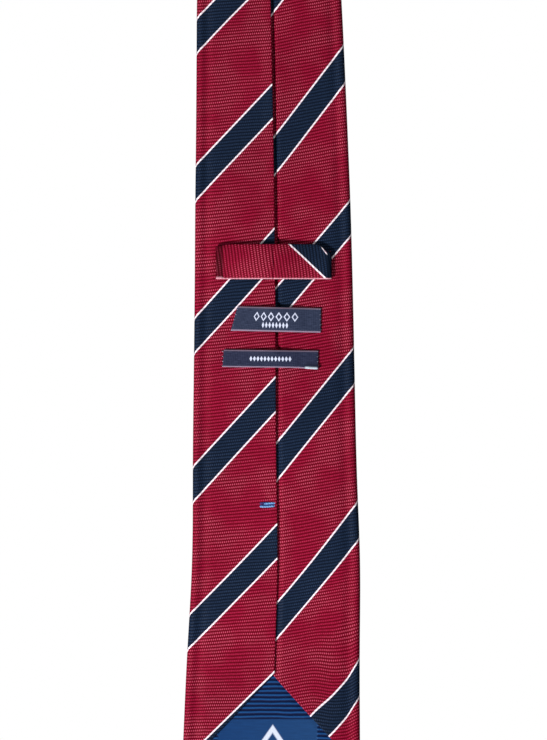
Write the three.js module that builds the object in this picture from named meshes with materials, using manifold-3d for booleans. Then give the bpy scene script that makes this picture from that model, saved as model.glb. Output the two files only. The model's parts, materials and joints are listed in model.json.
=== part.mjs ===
// A striped silk necktie, draped over a rail with its seam side out. The blade hangs in front of the rail and the
// tail behind it. The silk is a flat envelope folded round a wool interlining: its two flaps meet at the centre of
// the back, where the left flap laps over the right one.
//
// Frame: X across the tie, Z up, origin on the rail's axis. The blade's seam side faces -Y and the tail's faces +Y.
// Along the tie, "run" is the distance from the blade's point. Through it, "rise" is the distance from the middle
// of its thickness towards the seam side. All lengths are in millimetres.

import * as THREE from "three";
import { mergeVertices } from "three/addons/utils/BufferGeometryUtils.js";
import Module from "manifold-3d";

const wasm = await Module();
wasm.setup();

// ---- The tie ----
const tieLength = 1480; // from point to point
const bladeDrop = 740; // the blade's point below the rail's axis
const railDiameter = 16;
const railClearance = 0.3;
const bladeWidth = 80.2; // at the corners of the blade's point
const neckWidth = 37.5;
const tailWidth = 46; // at the corners of the tail's point
const pointAngle = THREE.MathUtils.degToRad(49.5); // edge of each point, from level
const neckStart = 720; // the run where the blade has come down to the neck's width
const neckEnd = 1000;
// The blade's widths between its point and the neck, as [run, width].
const bladeTaper = [
  [170, 74.2],
  [300, 70],
  [393, 65.2],
  [560, 50.5],
];

// ---- Its layers ----
const tieThickness = 4.4; // over the rolled side edges
const silkThickness = 0.45;
const interliningThickness = 1.4;
const tippingThickness = 0.25;
const layerGap = 0.1;
const seamOffset = 0.6; // the over flap's edge, right of the middle
const flapLap = 6.6; // how far the under flap reaches under the over flap
const flapStep = 2.2; // the width of the step down to the under flap
const interliningInset = 2.0; // from the tie's edge
const tippingInset = 2.6;
const tippingHeight = 135; // from the blade's point to the tipping's upper edge
const tailTippingHeight = 80;

// ---- Where it bends, and where the silk is pieced ----
const hingeDrop = 25; // the upper bends, below the rail's axis
const bladeBendRun = 420; // the lower bend, from the blade's point
const tailBendRun = 380; // the lower bend, from the tail's point
const bendGap = 0.4; // between the two sides of a bend
const piecingAngle = THREE.MathUtils.degToRad(49); // the bias seams, from level
const bladeSeamRun = 645; // the middle of the blade's bias seam
const tailSeamRun = 1000;
const seamGap = 0.3;

// ---- The sewn-on pieces, on the blade ----
const keeper = { run: 275, across: 0.5, width: 51, height: 16.2, lift: 1.6, cloth: 0.9, foot: 5, tilt: 0 };
const upperLabel = { run: 249.3, across: 1.5, width: 40.5, height: 11.4, lift: 0.4, cloth: 0.35, foot: 4, tilt: 1.5 };
const lowerLabel = { run: 231.4, across: -0.6, width: 43.3, height: 7.8, lift: 0.4, cloth: 0.35, foot: 4, tilt: 0.6 };
const keeperStitch = { thickness: 0.35, width: 1.2 };
const labelStitch = { thickness: 0.5, width: 0.7 };
const bladeTack = { run: 166, length: 8.5, width: 1.8, thickness: 0.6 };
const tailTack = { run: tieLength - 95, length: 6, width: 1.6, thickness: 0.6 };
const threadDiameter = 0.3;
const stitchInset = 3; // the slip stitch, left of the over flap's edge

// ---- Worked out from the sizes above ----
const half = tieThickness / 2;
const innerHalf = half - silkThickness;
const seatRadius = railDiameter / 2 + railClearance + half; // the middle of the tie's thickness, over the rail
const archLength = Math.PI * seatRadius;
const archEnd = bladeDrop + archLength;
const underTop = half - silkThickness - threadDiameter - layerGap; // the under flap's outer face
const underBottom = underTop - silkThickness;
const interliningBottom = layerGap - innerHalf;
const interliningTop = interliningBottom + interliningThickness;
const tippingBottom = interliningTop + layerGap;
const tippingTop = tippingBottom + tippingThickness;
const bladeCorner = (bladeWidth / 2) * Math.tan(pointAngle);
const tailCorner = (tailWidth / 2) * Math.tan(pointAngle);
const frontHinge = bladeDrop - hingeDrop;
const rearHinge = archEnd + hingeDrop;
const tailBend = tieLength - tailBendRun;
const widthStations = [
  [0, bladeWidth],
  [bladeCorner, bladeWidth],
  ...bladeTaper,
  [neckStart, neckWidth],
  [neckEnd, neckWidth],
  [tieLength - tailCorner, tailWidth],
  [tieLength, tailWidth],
];

// Half the tie's width at a run, on straight lines between the stations.
function halfWidth(run) {
  const next = widthStations.findIndex(([at]) => at >= run);
  if (next <= 0) return widthStations.at(next === 0 ? 0 : -1)[1] / 2;
  const [[r0, w0], [r1, w1]] = [widthStations[next - 1], widthStations[next]];
  return (w0 + ((w1 - w0) * (run - r0)) / (r1 - r0)) / 2;
}

// A point of the draped tie: up the front of the rail, over it, and down behind it.
function draped(run, across, rise) {
  const radius = seatRadius + rise;
  if (run <= bladeDrop) return [across, -radius, run - bladeDrop];
  if (run >= archEnd) return [across, radius, archEnd - run];
  const turn = (run - bladeDrop) / seatRadius;
  return [across, -radius * Math.cos(turn), radius * Math.sin(turn)];
}

// Outlines are drawn for the blade's full width. This gives their place across the tie at another run: the flat
// middle is drawn in and the rolled edges keep their shape.
function drawnIn(across, run) {
  const flat = bladeWidth / 2 - half;
  const share = Math.min(Math.abs(across) / flat, 1);
  return across + Math.sign(across) * share * (halfWidth(run) - bladeWidth / 2);
}

// Moves each point of a geometry to its place on the draped tie. A move that mirrors the geometry also turns each
// of its triangles round.
function drape(geometry, placed, mirrored) {
  const flat = geometry.index ? geometry.toNonIndexed() : geometry;
  const from = flat.getAttribute("position");
  const to = new Float32Array(from.count * 3);
  const corners = mirrored ? [0, 2, 1] : [0, 1, 2];
  for (let i = 0; i < from.count; i += 3) {
    corners.forEach((corner, k) => {
      const at = i + corner;
      to.set(placed(from.getX(at), from.getY(at), from.getZ(at)), 3 * (i + k));
    });
  }
  return new THREE.BufferGeometry().setAttribute("position", new THREE.BufferAttribute(to, 3));
}

// A solid with one outline in (across, rise), carried along the given runs.
function carried(outline, runs, across = drawnIn) {
  const steps = runs.length - 1;
  const bar = new THREE.ExtrudeGeometry(outline, { depth: steps, steps, bevelEnabled: false, curveSegments: 6 });
  const placed = (x, rise, step) => {
    const run = runs[Math.round(step)];
    return draped(run, across(x, run), rise);
  };
  return drape(bar, placed, true);
}

// A flat plate with an outline of [across, run] points, between two rises.
function plate(points, bottom, top) {
  const shape = new THREE.Shape(points.map(([x, run]) => new THREE.Vector2(x, run)));
  const slab = new THREE.ExtrudeGeometry(shape, { depth: top - bottom, bevelEnabled: false });
  return drape(slab, (x, run, depth) => draped(run, x, bottom + depth), false);
}

// ---- Cutting and joining ----
function toSolid(geometry) {
  const bare = new THREE.BufferGeometry().setAttribute("position", geometry.getAttribute("position"));
  const merged = mergeVertices(bare, 1e-3);
  const vertProperties = merged.getAttribute("position").array;
  const triVerts = new Uint32Array(merged.index.array);
  return new wasm.Manifold(new wasm.Mesh({ numProp: 3, vertProperties, triVerts }));
}

function toGeometry(solid) {
  const made = solid.getMesh();
  const geometry = new THREE.BufferGeometry();
  geometry.setAttribute("position", new THREE.BufferAttribute(new Float32Array(made.vertProperties), 3));
  geometry.setIndex(new THREE.BufferAttribute(new Uint32Array(made.triVerts), 1));
  return geometry;
}

const joined = (geometries) => geometries.map(toSolid).reduce((all, next) => all.add(next));

// The runs where a carried solid needs a cross-section: its ends, the width stations and every few degrees of arch.
function runsBetween(start, end) {
  const archSteps = 24;
  const arch = Array.from({ length: archSteps + 1 }, (_, i) => bladeDrop + (archLength * i) / archSteps);
  const inside = [...widthStations.map(([at]) => at), ...arch].filter((at) => at > start + 0.5 && at < end - 0.5);
  return [start, ...inside.sort((a, b) => a - b), end];
}

// ---- The silk envelope ----
function envelopeOutline() {
  const flat = bladeWidth / 2 - half;
  const stepFoot = seamOffset + silkThickness;
  const stepHead = stepFoot + flapStep;
  const lapEnd = seamOffset - flapLap;
  const quarter = Math.PI / 2;
  const outline = new THREE.Shape();
  outline.moveTo(seamOffset, half);
  outline.absarc(-flat, 0, half, quarter, 3 * quarter, false);
  outline.absarc(flat, 0, half, -quarter, quarter, false);
  outline.lineTo(stepHead, half);
  outline.lineTo(stepFoot, underTop);
  outline.lineTo(lapEnd, underTop);
  outline.lineTo(lapEnd, underBottom);
  outline.lineTo(stepFoot, underBottom);
  outline.lineTo(stepHead, innerHalf);
  outline.absarc(flat, 0, innerHalf, quarter, -quarter, true);
  outline.absarc(-flat, 0, innerHalf, -quarter, -3 * quarter, true);
  outline.lineTo(seamOffset, innerHalf);
  return outline;
}

const envelope = (start, end) => carried(envelopeOutline(), runsBetween(start, end));

const beyond = 20; // how far a cutter reaches past what it cuts

// What is kept of the envelope at a point: the front panel inside its V, and the flaps above an upturned V. The
// flaps' edges are the point's own edges, turned in over the slanting sides. Distances are from that point, up to
// the bend, and "from" turns one into a run.
function pointKeeper(width, corner, taperRun, bend, from) {
  const reach = width / 2 + beyond;
  const [near, far] = [halfWidth(from(corner)), halfWidth(from(taperRun))];
  const flapAngle = pointAngle - 2 * Math.atan((near - far) / (taperRun - corner));
  const apex = corner + (width / 2) * Math.tan(flapAngle);
  const top = bend + beyond;
  const mid = tippingTop + layerGap;
  const place = (points) => points.map(([x, at]) => [x, from(at)]);
  const panel = [
    [0, 0],
    [reach, reach * Math.tan(pointAngle)],
    [reach, top],
    [-reach, top],
    [-reach, reach * Math.tan(pointAngle)],
  ];
  const flaps = [
    [0, apex],
    [reach, apex - reach * Math.tan(flapAngle)],
    [reach, top],
    [-reach, top],
    [-reach, apex - reach * Math.tan(flapAngle)],
  ];
  return joined([plate(place(panel), -tieThickness, mid), plate(place(flaps), mid, tieThickness)]);
}

const fromBlade = (at) => at;
const fromTail = (at) => tieLength - at;

// Where a bias seam crosses a side edge, and its slope on the flap past it. Side is 1 on the right and -1 on the
// left. Folding the cloth over a slanting edge turns the seam by twice the edge's lean.
function seamAtEdge(seamRun, side) {
  const slope = Math.tan(piecingAngle);
  let edge = halfWidth(seamRun);
  for (let i = 0; i < 6; i++) edge = halfWidth(seamRun - side * slope * edge);
  const run = seamRun - side * slope * edge;
  const lean = Math.atan((halfWidth(run - 1) - halfWidth(run + 1)) / 2);
  return { x: side * edge, run, slope: Math.tan(piecingAngle + 2 * side * lean) };
}

// The space between a start and a bias seam. On the cloth laid flat the seam is one straight line, so on the
// folded tie it runs one way across the front panel and the other way across the flaps.
function beforeSeam(seamRun, start) {
  const front = { x: 0, run: seamRun, slope: -Math.tan(piecingAngle) };
  const right = seamAtEdge(seamRun, 1);
  const left = seamAtEdge(seamRun, -1);
  const reach = Math.max(right.x, -left.x) + tieThickness;
  const footReach = halfWidth(start) + beyond;
  const foot = (x) => (Math.abs(x) === reach ? Math.sign(x) * footReach : x);
  const lapEnd = drawnIn(seamOffset - flapLap, seamRun) - layerGap;
  const lapEdge = drawnIn(seamOffset + silkThickness, seamRun) - layerGap;
  const laps = (underTop + innerHalf) / 2;
  const mid = tippingTop + layerGap;
  // Each zone of the cross-section: its sides, its rises, and the stretch of the seam that crosses it.
  const zones = [
    [-reach, reach, -tieThickness, mid, front],
    [lapEnd, reach, mid, laps, right],
    [-reach, lapEnd, mid, laps, left],
    [lapEdge, reach, laps, tieThickness, right],
    [-reach, lapEdge, laps, tieThickness, left],
  ];
  return joined(
    zones.map(([from, to, low, high, seam]) => {
      const seamAt = (x) => seam.run + seam.slope * (x - seam.x);
      return plate([[foot(from), start], [foot(to), start], [to, seamAt(to)], [from, seamAt(from)]], low, high);
    }),
  );
}

// ---- Interlinings, tippings and threads ----
// A flat strip with straight sides from one run to another, and a point at the blade's or the tail's end.
function stripOutline(start, end, inset) {
  const side = (run) => halfWidth(run) - inset;
  const stations = [start, ...widthStations.map(([at]) => at).filter((at) => at > start + 1 && at < end - 1), end];
  const right = stations.map((run) => [side(run), run]);
  const left = stations.toReversed().map((run) => [-side(run), run]);
  return [...right, ...left];
}

// The same strip, ending in a point that keeps its distance from the silk's own point.
function pointedOutline(far, inset, width, corner, from) {
  const tip = inset / Math.cos(pointAngle);
  const side = width / 2 - inset;
  const shoulder = tip + side * Math.tan(pointAngle);
  const farRun = from(far);
  const stations = widthStations
    .map(([at]) => at)
    .filter((at) => (at - from(shoulder)) * (at - farRun) < 0 && Math.abs(at - from(corner)) > 1);
  const outward = [...stations, farRun].sort((a, b) => Math.abs(a - from(0)) - Math.abs(b - from(0)));
  const right = [[side, from(shoulder)], ...outward.map((run) => [halfWidth(run) - inset, run])];
  return [[0, from(tip)], ...right, ...right.toReversed().map(([x, run]) => [-x, run])];
}

function threadGeometry(start, end) {
  const sides = 6;
  const radius = threadDiameter / 2;
  const rise = (underTop + innerHalf) / 2;
  const outline = new THREE.Shape(
    Array.from({ length: sides }, (_, i) => {
      const turn = (2 * Math.PI * i) / sides;
      return new THREE.Vector2(radius * Math.cos(turn), rise + radius * Math.sin(turn));
    }),
  );
  return carried(outline, runsBetween(start, end), (x, run) => x + drawnIn(seamOffset - stitchInset, run));
}

// ---- Sewn-on straps: the keeper loop and the labels ----
// A strap of cloth whose two ends are folded under it, seen from its long edge: it stands off the tie between
// them. Its underside is at rise 0 at the feet.
function strapGeometry({ width, height, lift, cloth, foot }) {
  const side = width / 2;
  const top = lift + cloth;
  const shoulder = Math.min(top, foot / 2);
  const outline = new THREE.Shape();
  outline.moveTo(-side, 0);
  outline.lineTo(-side + foot, 0);
  outline.quadraticCurveTo(-side + foot, lift, -side + foot + shoulder, lift);
  outline.lineTo(side - foot - shoulder, lift);
  outline.quadraticCurveTo(side - foot, lift, side - foot, 0);
  outline.lineTo(side, 0);
  outline.lineTo(side, cloth / 2);
  outline.quadraticCurveTo(side, top, side - shoulder, top);
  outline.lineTo(-side + shoulder, top);
  outline.quadraticCurveTo(-side, top, -side, cloth / 2);
  const strap = new THREE.ExtrudeGeometry(outline, { depth: height, bevelEnabled: false, curveSegments: 5 });
  strap.translate(0, 0, -height / 2);
  return strap;
}

// A bar of thread: a rounded oblong, lying along X and standing up along Y.
function barGeometry(length, width, thickness) {
  const r = width / 2;
  const straight = length / 2 - r;
  const outline = new THREE.Shape();
  outline.absarc(straight, 0, r, -Math.PI / 2, Math.PI / 2, false);
  outline.absarc(-straight, 0, r, Math.PI / 2, (3 * Math.PI) / 2, false);
  const bar = new THREE.ExtrudeGeometry(outline, { depth: thickness, bevelEnabled: false, curveSegments: 6 });
  bar.rotateX(-Math.PI / 2);
  return bar;
}

// ---- The assembly ----
const cloth = (color, roughness) => new THREE.MeshStandardMaterial({ color, roughness, metalness: 0 });
const materials = {
  silk: cloth(0x9c1230, 0.55),
  canvas: cloth(0xd8d0bc, 0.95),
  tipping: cloth(0x1f3f73, 0.5),
  label: cloth(0x232a48, 0.5),
  thread: cloth(0x7a1026, 0.7),
  tack: cloth(0x3565a8, 0.6),
  stitch: cloth(0xcfd3dc, 0.7),
};

const tie = new THREE.Group();

function add(name, geometry, material, parent = tie) {
  geometry.computeVertexNormals();
  const mesh = new THREE.Mesh(geometry, material);
  mesh.name = name;
  parent.add(mesh);
  return mesh;
}

// Silk. Each length between two bends is a solid of its own, and the bias seams part the blade, neck and tail.
const lowerEnd = bladeBendRun - bendGap / 2;
const upperStart = bladeBendRun + bendGap / 2;
const frontEnd = frontHinge - bendGap / 2;
const frontStart = frontHinge + bendGap / 2;
const rearEnd = rearHinge - bendGap / 2;
const rearStart = rearHinge + bendGap / 2;
const tailUpperEnd = tailBend - bendGap / 2;
const tailStart = tailBend + bendGap / 2;

const bladeUpper = toSolid(envelope(upperStart, frontEnd));
const tailUpper = toSolid(envelope(rearStart, tailUpperEnd));
const bladeKeeper = pointKeeper(bladeWidth, bladeCorner, bladeTaper[0][0], bladeBendRun, fromBlade);
const tailKeeper = pointKeeper(tailWidth, tailCorner, tailBendRun, tailBendRun, fromTail);
add("blade_silk", toGeometry(toSolid(envelope(0, lowerEnd)).intersect(bladeKeeper)), materials.silk);
const belowBladeSeam = beforeSeam(bladeSeamRun - seamGap, bladeBendRun - beyond);
const upToNeck = beforeSeam(bladeSeamRun + seamGap, bladeBendRun - beyond);
add("blade_silk_upper", toGeometry(bladeUpper.intersect(belowBladeSeam)), materials.silk);
add("neck_silk_front", toGeometry(bladeUpper.subtract(upToNeck)), materials.silk);
add("neck_silk_arch", envelope(frontStart, rearEnd), materials.silk);
const upToTailSeam = beforeSeam(tailSeamRun - seamGap, archEnd);
const upToTail = beforeSeam(tailSeamRun + seamGap, archEnd);
add("neck_silk_rear", toGeometry(tailUpper.intersect(upToTailSeam)), materials.silk);
add("tail_silk_upper", toGeometry(tailUpper.subtract(upToTail)), materials.silk);
add("tail_silk", toGeometry(toSolid(envelope(tailStart, tieLength)).intersect(tailKeeper)), materials.silk);

// Interlining, inside the silk against its front panel.
const canvas = (outline) => plate(outline, interliningBottom, interliningTop);
const bladeCanvas = pointedOutline(lowerEnd, interliningInset, bladeWidth, bladeCorner, fromBlade);
const tailCanvas = pointedOutline(tailBendRun - bendGap / 2, interliningInset, tailWidth, tailCorner, fromTail);
const canvasSide = bladeWidth / 2 - interliningInset;
const canvasSection = new THREE.Shape([
  new THREE.Vector2(-canvasSide, interliningBottom),
  new THREE.Vector2(canvasSide, interliningBottom),
  new THREE.Vector2(canvasSide, interliningTop),
  new THREE.Vector2(-canvasSide, interliningTop),
]);
add("blade_interlining", canvas(bladeCanvas), materials.canvas);
add("blade_interlining_upper", canvas(stripOutline(upperStart, frontEnd, interliningInset)), materials.canvas);
add("neck_interlining", carried(canvasSection, runsBetween(frontStart, rearEnd)), materials.canvas);
add("tail_interlining_upper", canvas(stripOutline(rearStart, tailUpperEnd, interliningInset)), materials.canvas);
add("tail_interlining", canvas(tailCanvas), materials.canvas);

// Tipping: the lining that shows at each point.
const lining = (outline) => plate(outline, tippingBottom, tippingTop);
const bladeLining = pointedOutline(tippingHeight, tippingInset, bladeWidth, bladeCorner, fromBlade);
const tailLining = pointedOutline(tailTippingHeight, tippingInset, tailWidth, tailCorner, fromTail);
add("blade_tipping", lining(bladeLining), materials.tipping);
add("tail_tipping", lining(tailLining), materials.tipping);

// The slip stitch that closes the back, one length for each body, between the two tacks.
add("blade_slip_stitch", threadGeometry(bladeTack.run, lowerEnd), materials.thread);
add("blade_slip_stitch_upper", threadGeometry(upperStart, frontEnd), materials.thread);
add("neck_slip_stitch", threadGeometry(frontStart, rearEnd), materials.thread);
add("tail_slip_stitch_upper", threadGeometry(rearStart, tailUpperEnd), materials.thread);
add("tail_slip_stitch", threadGeometry(tailStart, tailTack.run), materials.thread);

// Everything sewn to the blade's back stands in a group whose Y is the tie's surface. A piece is built with its
// own Y as the way it stands out, and turned to face -Y.
const bladeBack = new THREE.Group();
bladeBack.position.set(0, -(seatRadius + half), -bladeDrop);
tie.add(bladeBack);

function sewOn(name, geometry, material, { across, run, tilt = 0 }, standOff) {
  const seat = new THREE.Group();
  seat.position.set(across, -standOff, run);
  seat.rotation.y = THREE.MathUtils.degToRad(tilt);
  bladeBack.add(seat);
  geometry.rotateX(Math.PI); // Y out of the tie becomes -Y
  return add(name, geometry, material, seat);
}

// Stitches at both ends of a strap: under the keeper's feet, and beside the labels.
function endStitches(name, strap, { thickness, width }, offset) {
  [-1, 1].forEach((side) => {
    const bar = barGeometry(strap.height * 0.8, width, thickness);
    bar.rotateY(Math.PI / 2);
    bar.translate(side * (strap.width / 2 + offset), 0, 0);
    sewOn(`${name}_stitch_${side < 0 ? "left" : "right"}`, bar, materials.stitch, strap, layerGap);
  });
}

sewOn("keeper_loop", strapGeometry(keeper), materials.silk, keeper, 2 * layerGap + keeperStitch.thickness);
endStitches("keeper", keeper, keeperStitch, -keeper.foot / 2);
sewOn("upper_label", strapGeometry(upperLabel), materials.label, upperLabel, layerGap);
endStitches("upper_label", upperLabel, labelStitch, labelStitch.width / 2 + layerGap);
sewOn("lower_label", strapGeometry(lowerLabel), materials.label, lowerLabel, layerGap);
endStitches("lower_label", lowerLabel, labelStitch, labelStitch.width / 2 + layerGap);

// Bar tacks, at the ends of the slip stitch. Each starts at the over flap's edge and lies on that flap.
const tackAcross = (tack) => seamOffset - tack.length / 2;
const bladeBar = barGeometry(bladeTack.length, bladeTack.width, bladeTack.thickness);
sewOn("blade_bar_tack", bladeBar, materials.tack, { across: tackAcross(bladeTack), run: bladeTack.run }, layerGap);

const tailBack = new THREE.Group();
tailBack.position.set(0, seatRadius + half + layerGap, archEnd - tailTack.run);
tie.add(tailBack);
const tailBar = barGeometry(tailTack.length, tailTack.width, tailTack.thickness);
add("tail_bar_tack", tailBar, materials.tack, tailBack).position.x = tackAcross(tailTack);

export default tie;
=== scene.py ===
# %% [markdown]
# # A striped silk necktie, seam side out
#
# A classic necktie is a flat envelope of silk, folded round a strip of wool interlining. Its two flaps meet
# at the centre of the back, where the left flap laps over the right one and a long slip stitch closes them.
# At each point the flaps open in an upturned V, and the lining that shows there is called the tipping. A
# keeper loop and two woven labels are sewn behind the blade, which is the tie's wide end.
#
# Here the tie hangs over a rail with its seam side out. Every piece is worked out with numpy in the tie's
# own coordinates, and one last function carries them over the rail. The coordinates are the *run*, which is
# the distance from the blade's point, the distance *across*, and the *rise* from the middle of the
# thickness towards the seam side. All three are in millimetres.

import json
import math

import bmesh
import bpy
import numpy as np
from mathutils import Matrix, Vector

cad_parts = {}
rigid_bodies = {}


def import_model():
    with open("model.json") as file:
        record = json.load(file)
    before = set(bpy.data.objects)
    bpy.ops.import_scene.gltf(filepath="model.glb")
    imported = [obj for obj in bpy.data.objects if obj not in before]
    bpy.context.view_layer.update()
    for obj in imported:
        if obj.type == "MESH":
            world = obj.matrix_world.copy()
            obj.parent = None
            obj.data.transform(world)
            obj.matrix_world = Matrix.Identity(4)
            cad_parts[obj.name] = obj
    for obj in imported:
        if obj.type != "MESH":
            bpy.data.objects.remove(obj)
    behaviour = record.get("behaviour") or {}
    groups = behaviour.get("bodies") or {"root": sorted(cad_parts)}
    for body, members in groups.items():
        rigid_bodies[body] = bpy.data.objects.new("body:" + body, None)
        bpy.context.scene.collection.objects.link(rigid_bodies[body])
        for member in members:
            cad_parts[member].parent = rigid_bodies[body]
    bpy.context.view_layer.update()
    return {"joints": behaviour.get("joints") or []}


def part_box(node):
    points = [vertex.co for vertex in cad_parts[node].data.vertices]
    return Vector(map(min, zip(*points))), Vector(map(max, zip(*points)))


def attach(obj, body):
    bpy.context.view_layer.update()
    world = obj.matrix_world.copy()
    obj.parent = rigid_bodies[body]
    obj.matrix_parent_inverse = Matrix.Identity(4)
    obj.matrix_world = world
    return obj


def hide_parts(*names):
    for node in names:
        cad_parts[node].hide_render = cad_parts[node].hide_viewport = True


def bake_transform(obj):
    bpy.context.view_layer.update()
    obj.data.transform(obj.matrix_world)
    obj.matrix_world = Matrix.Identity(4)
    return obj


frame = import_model()
MM = 0.001


# %% [markdown]
# ## The sizes
#
# The frame gives the sizes that the solids already hold: how thick and how wide the tie is, how tightly it
# turns over the rail, and where it bends. Only what a box can't give is stated again, such as the taper
# between the blade's point and its neck.


# %% Sizes, from the frame
def size_of(node, axis):
    """A node's extent along X, Y or Z (0, 1 or 2), in millimetres."""
    low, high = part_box(node)
    return (high[axis] - low[axis]) / MM


def joint_named(name):
    """The record's joint of that name."""
    return next(joint for joint in frame["joints"] if joint["name"] == name)


THICKNESS = size_of("blade_silk_upper", 1)
HALF = THICKNESS / 2
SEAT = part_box("neck_silk_arch")[1].z / MM - HALF  # from the rail's axis to the middle of the thickness
BLADE_DROP = -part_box("blade_silk")[0].z / MM
ARCH_END = BLADE_DROP + math.pi * SEAT
CROWN = (BLADE_DROP + ARCH_END) / 2
TIE_LENGTH = ARCH_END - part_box("tail_silk")[0].z / MM
BLADE_WIDTH = size_of("blade_silk", 0)
NECK_WIDTH = 37.5
TAIL_WIDTH = size_of("tail_silk", 0)
POINT_ANGLE = math.radians(49.5)
BLADE_CORNER = BLADE_WIDTH / 2 * math.tan(POINT_ANGLE)
TAIL_CORNER = TAIL_WIDTH / 2 * math.tan(POINT_ANGLE)


def front_run(name):
    """The run of a joint on the blade's side of the rail."""
    return BLADE_DROP + joint_named(name)["pos_m"][2] / MM


def rear_run(name):
    """The run of a joint on the tail's side of the rail."""
    return ARCH_END - joint_named(name)["pos_m"][2] / MM


BENDS = [front_run("blade_bend"), front_run("blade_swing"), rear_run("tail_swing"), rear_run("tail_bend")]
print("tie", round(TIE_LENGTH), "mm long, blade", round(BLADE_WIDTH, 1), "mm wide, bends at", np.round(BENDS))


# %% [markdown]
# ## The shape that it hangs in
#
# The sides of a tie taper in long, gentle curves, so the widths between a few stations are averaged over a
# short stretch. A hanging tie is never quite straight either: it sways a millimetre or two sideways, and
# its surface swells and sinks a little.


# %% Widths, and the way over the rail
WIDTH_STATIONS = [  # run, width
    (0, BLADE_WIDTH),
    (BLADE_CORNER, BLADE_WIDTH),
    (170, 74.2),
    (300, 70.0),
    (393, 65.2),
    (560, 50.5),
    (720, NECK_WIDTH),
    (1000, NECK_WIDTH),
    (TIE_LENGTH - TAIL_CORNER, TAIL_WIDTH),
    (TIE_LENGTH, TAIL_WIDTH),
]
SOFTENED = np.linspace(-12, 12, 7)  # the stretch that a width is averaged over
SWAY_MIDDLE, SWAY_REACH = 200.0, 193.0
SWAY_DEPTH = -2.3  # how far the long bow sways at its reach from its middle
SHORT_BOW_RUN = 140.0
WAVES = [(0.16, 31, 23, 0.0), (0.12, 17, -14, 1.3), (0.1, 67, math.inf, 0.6)]  # height, along, across, phase


def half_width(run):
    """Half the tie's width at a run: straight lines between the stations, averaged over a short stretch."""
    stations, widths = np.transpose(WIDTH_STATIONS)
    near = np.asarray(run, float)[..., None] + SOFTENED
    return np.interp(near, stations, widths).mean(-1) / 2


def edge_lean(run):
    """How much half the width grows with each millimetre of run."""
    return (half_width(run + 1) - half_width(run - 1)) / 2


def smooth(x, start, end):
    """0 before start, 1 after end, and a smooth step between: 3t² - 2t³."""
    t = np.clip((x - start) / (end - start), 0, 1)
    return t * t * (3 - 2 * t)


def stepped(x, start, *steps):
    """A start value, with a smooth step added for each (height, start, end)."""
    return start + sum(height * smooth(x, low, high) for height, low, high in steps)


def hill(x, middle, width):
    """A smooth hill, 1 in its middle: e to the power of -((x - middle) / width)²."""
    return np.exp(-(((x - middle) / width) ** 2))


def sway(run):
    """How far the tie hangs off to one side: a long bow that fades out towards the rail, and a short one."""
    bow = SWAY_DEPTH * ((run - SWAY_MIDDLE) / SWAY_REACH) ** 2 * (1 - smooth(run, 380, 600))
    return 0.35 + bow * smooth(run, -40, 60) + hill(run, SHORT_BOW_RUN, 36)


def swell(run, across):
    """Slow waves in the surface, in millimetres of rise: three sines of different lengths and directions.
    They fade out towards the rail, where the tie lies tight."""
    waves = sum(high * np.sin(run / along + across / aside + phase) for high, along, aside, phase in WAVES)
    near_rail = smooth(run, BLADE_DROP - 60, BLADE_DROP - 25) - smooth(run, ARCH_END + 25, ARCH_END + 60)
    return waves * (1 - near_rail)


def hang(run, across, rise):
    """Points of the draped tie, in metres: up in front of the rail, half a turn over it, and down behind
    it."""
    run, across, rise = np.broadcast_arrays(*(np.asarray(a, float) for a in (run, across, rise)))
    turn = np.clip((run - BLADE_DROP) / SEAT, 0, math.pi)
    radius = SEAT + rise + swell(run, across)
    past = np.where(run < BLADE_DROP, run - BLADE_DROP, np.where(run > ARCH_END, ARCH_END - run, 0))
    x = across + sway(run)
    return np.stack([x, -radius * np.cos(turn), radius * np.sin(turn) + past], -1) * MM


print("half widths", np.round(half_width(np.array([60, 226, 393, 720])), 1))


# %% [markdown]
# ## Putting arrays into a mesh
#
# Each surface is a grid of points, with one row for each step along it. The grid's quads are worked out as
# whole arrays, and foreach_set hands everything to Blender at once. The second UV map of a cloth holds its
# place on the bolt it was cut from, in millimetres, so that stripes and ribs run over a fold as they do on
# real cloth.


# %% Mesh helpers
def grid_quads(rows, columns, closed=False):
    """The corners of each quad of a grid of points. A closed grid also joins its last column to its first."""
    index = np.arange(rows * columns).reshape(rows, columns)
    if closed:
        index = np.hstack([index, index[:, :1]])
    corners = [index[:-1, :-1], index[:-1, 1:], index[1:, 1:], index[1:, :-1]]
    return np.stack(corners, -1).reshape(-1, 4)


def close_ends(mesh):
    """Fills the open ends of tubes and turns every face outwards."""
    work = bmesh.new()
    work.from_mesh(mesh)
    rims = [edge for edge in work.edges if edge.is_boundary]
    bmesh.ops.holes_fill(work, edges=rims, sides=0)
    bmesh.ops.recalc_face_normals(work, faces=work.faces)
    work.to_mesh(mesh)
    work.free()


def piece_from(name, points, quads, bolt, material, tube=False):
    """A smooth-shaded mesh object at the origin, with its UV map "bolt" in millimetres of cloth."""
    mesh = bpy.data.meshes.new(name)
    mesh.vertices.add(len(points))
    mesh.vertices.foreach_set("co", np.asarray(points, np.float32).ravel())
    mesh.loops.add(quads.size)
    mesh.loops.foreach_set("vertex_index", quads.astype(np.int32).ravel())
    mesh.polygons.add(len(quads))
    mesh.polygons.foreach_set("loop_start", np.arange(0, quads.size, quads.shape[1], dtype=np.int32))
    mesh.polygons.foreach_set("use_smooth", np.ones(len(quads), bool))
    layer = mesh.uv_layers.new(name="bolt")
    layer.data.foreach_set("uv", np.asarray(bolt, np.float32)[quads.ravel()].ravel())
    mesh.update(calc_edges=True)
    mesh.validate()
    if tube:
        close_ends(mesh)
    mesh.materials.append(material)
    piece = bpy.data.objects.new(name, mesh)
    bpy.context.scene.collection.objects.link(piece)
    return piece


def thicken(piece, thickness):
    """Gives a sheet its thickness, half on each side of it, in millimetres."""
    solid = piece.modifiers.new("thickness", "SOLIDIFY")
    solid.thickness = thickness * MM
    solid.offset = 0
    return piece


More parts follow.
